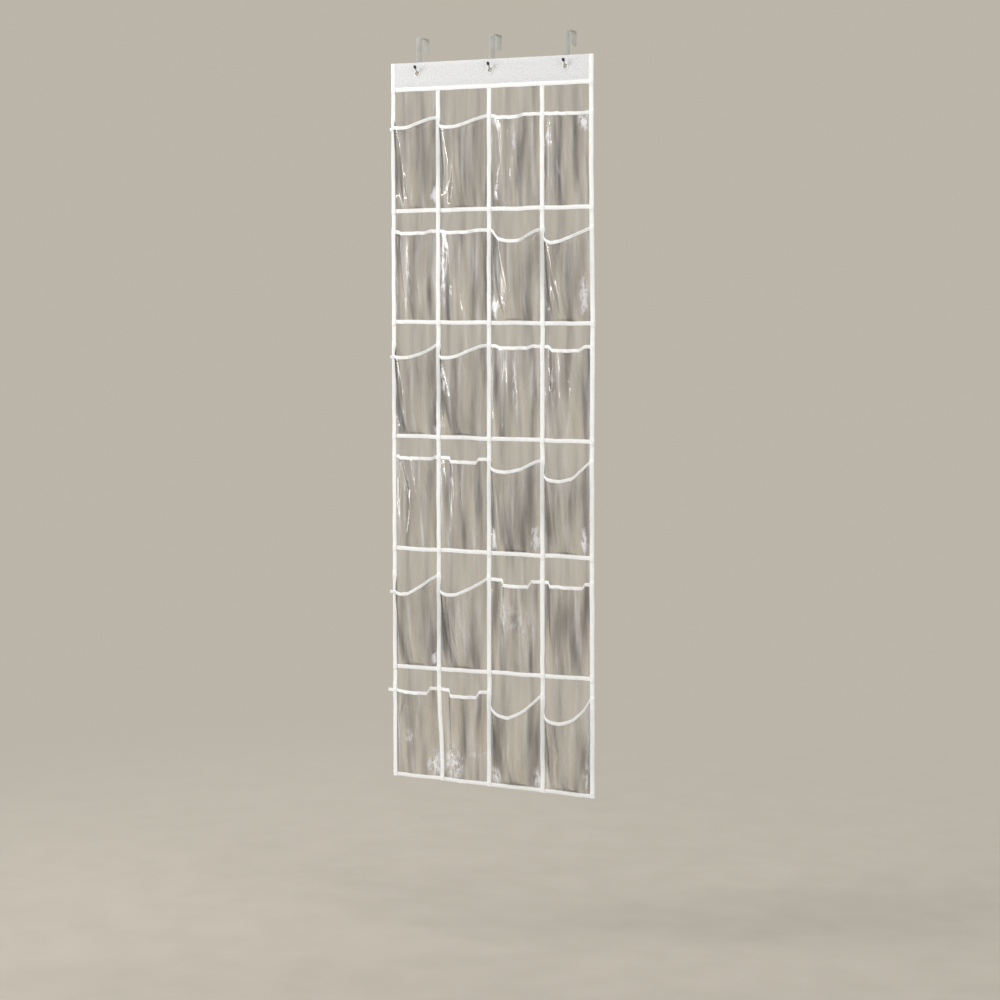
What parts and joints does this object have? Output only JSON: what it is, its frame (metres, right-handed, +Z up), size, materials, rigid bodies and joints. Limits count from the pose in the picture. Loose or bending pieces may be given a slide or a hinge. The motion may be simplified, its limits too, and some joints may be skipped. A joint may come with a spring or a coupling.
{
  "type": "over-the-door shoe organizer",
  "caption": "Hanging over-the-door shoe organizer: clear vinyl pockets in rows, white woven bindings and a fabric header on steel door hooks.",
  "frame": {"origin": "middle of the centre hook's saddle, on the face that rests on the door's top edge", "axes": "+Z up; the pockets face -Y; X across the panel; the door stands around Y = 0, behind the panel"},
  "size_m": [0.49, 0.0816, 1.6672],
  "materials": {
    "hook_steel": "zinc-plated strip",
    "tip_vinyl": "dark dipped vinyl",
    "eyelet_metal": "nickel-plated, rolled",
    "header_fabric": "white non-woven fabric with a fine embossed speckle",
    "header_board": "plain stiffening sheet",
    "white_tape": "white woven binding tape, stitched",
    "clear_vinyl": "clear soft vinyl, glossy and lightly creased"
  },
  "bodies": {
    "hooks": {"door_hook_left": "hook_steel", "door_hook_center": "hook_steel", "door_hook_right": "hook_steel", "hook_tip_caps": "tip_vinyl"},
    "header": {"header_front": "header_fabric", "header_board": "header_board", "header_back": "header_fabric", "header_bindings": "white_tape", "header_seam_tape": "white_tape", "eyelets": "eyelet_metal", "eyelet_washers": "eyelet_metal"},
    "row_1": {"back_sheet_1": "clear_vinyl", "pocket_strip_1": "clear_vinyl", "mouth_binding_1": "white_tape", "divider_tapes_1": "white_tape", "edge_bindings_1": "white_tape", "seam_tape_1": "white_tape"},
    "row_2": {"back_sheet_2": "clear_vinyl", "pocket_strip_2": "clear_vinyl", "mouth_binding_2": "white_tape", "divider_tapes_2": "white_tape", "edge_bindings_2": "white_tape", "seam_tape_2": "white_tape"},
    "row_3": {"back_sheet_3": "clear_vinyl", "pocket_strip_3": "clear_vinyl", "mouth_binding_3": "white_tape", "divider_tapes_3": "white_tape", "edge_bindings_3": "white_tape", "seam_tape_3": "white_tape"},
    "row_4": {"back_sheet_4": "clear_vinyl", "pocket_strip_4": "clear_vinyl", "mouth_binding_4": "white_tape", "divider_tapes_4": "white_tape", "edge_bindings_4": "white_tape", "seam_tape_4": "white_tape"},
    "row_5": {"back_sheet_5": "clear_vinyl", "pocket_strip_5": "clear_vinyl", "mouth_binding_5": "white_tape", "divider_tapes_5": "white_tape", "edge_bindings_5": "white_tape", "seam_tape_5": "white_tape"},
    "row_6": {"back_sheet_6": "clear_vinyl", "pocket_strip_6": "clear_vinyl", "mouth_binding_6": "white_tape", "divider_tapes_6": "white_tape", "edge_bindings_6": "white_tape", "hem_binding": "white_tape"}
  },
  "joints": [
    {"name": "panel_swing", "type": "hinge", "parent": "hooks", "child": "header", "pos_m": [0, -0.0267, -0.0725], "axis": [-1, 0, 0], "range_deg": [0, 18]},
    {"name": "fold_header_row_1", "type": "hinge", "parent": "header", "child": "row_1", "pos_m": [0, -0.02885, -0.118], "axis": [-1, 0, 0], "range_deg": [0, 65]},
    {"name": "fold_row_1_2", "type": "hinge", "parent": "row_1", "child": "row_2", "pos_m": [0, -0.02575, -0.385], "axis": [-1, 0, 0], "range_deg": [-130, 0]},
    {"name": "fold_row_2_3", "type": "hinge", "parent": "row_2", "child": "row_3", "pos_m": [0, -0.02885, -0.636], "axis": [-1, 0, 0], "range_deg": [0, 130]},
    {"name": "fold_row_3_4", "type": "hinge", "parent": "row_3", "child": "row_4", "pos_m": [0, -0.02575, -0.893], "axis": [-1, 0, 0], "range_deg": [-130, 0]},
    {"name": "fold_row_4_5", "type": "hinge", "parent": "row_4", "child": "row_5", "pos_m": [0, -0.02885, -1.147], "axis": [-1, 0, 0], "range_deg": [0, 130]},
    {"name": "fold_row_5_6", "type": "hinge", "parent": "row_5", "child": "row_6", "pos_m": [0, -0.02575, -1.415], "axis": [-1, 0, 0], "range_deg": [-130, 0]}
  ],
  "couplings": [
    {"joint": "fold_row_1_2", "follows": "fold_header_row_1", "ratio": -2},
    {"joint": "fold_row_2_3", "follows": "fold_header_row_1", "ratio": 2},
    {"joint": "fold_row_3_4", "follows": "fold_header_row_1", "ratio": -2},
    {"joint": "fold_row_4_5", "follows": "fold_header_row_1", "ratio": 2},
    {"joint": "fold_row_5_6", "follows": "fold_header_row_1", "ratio": -2}
  ]
}
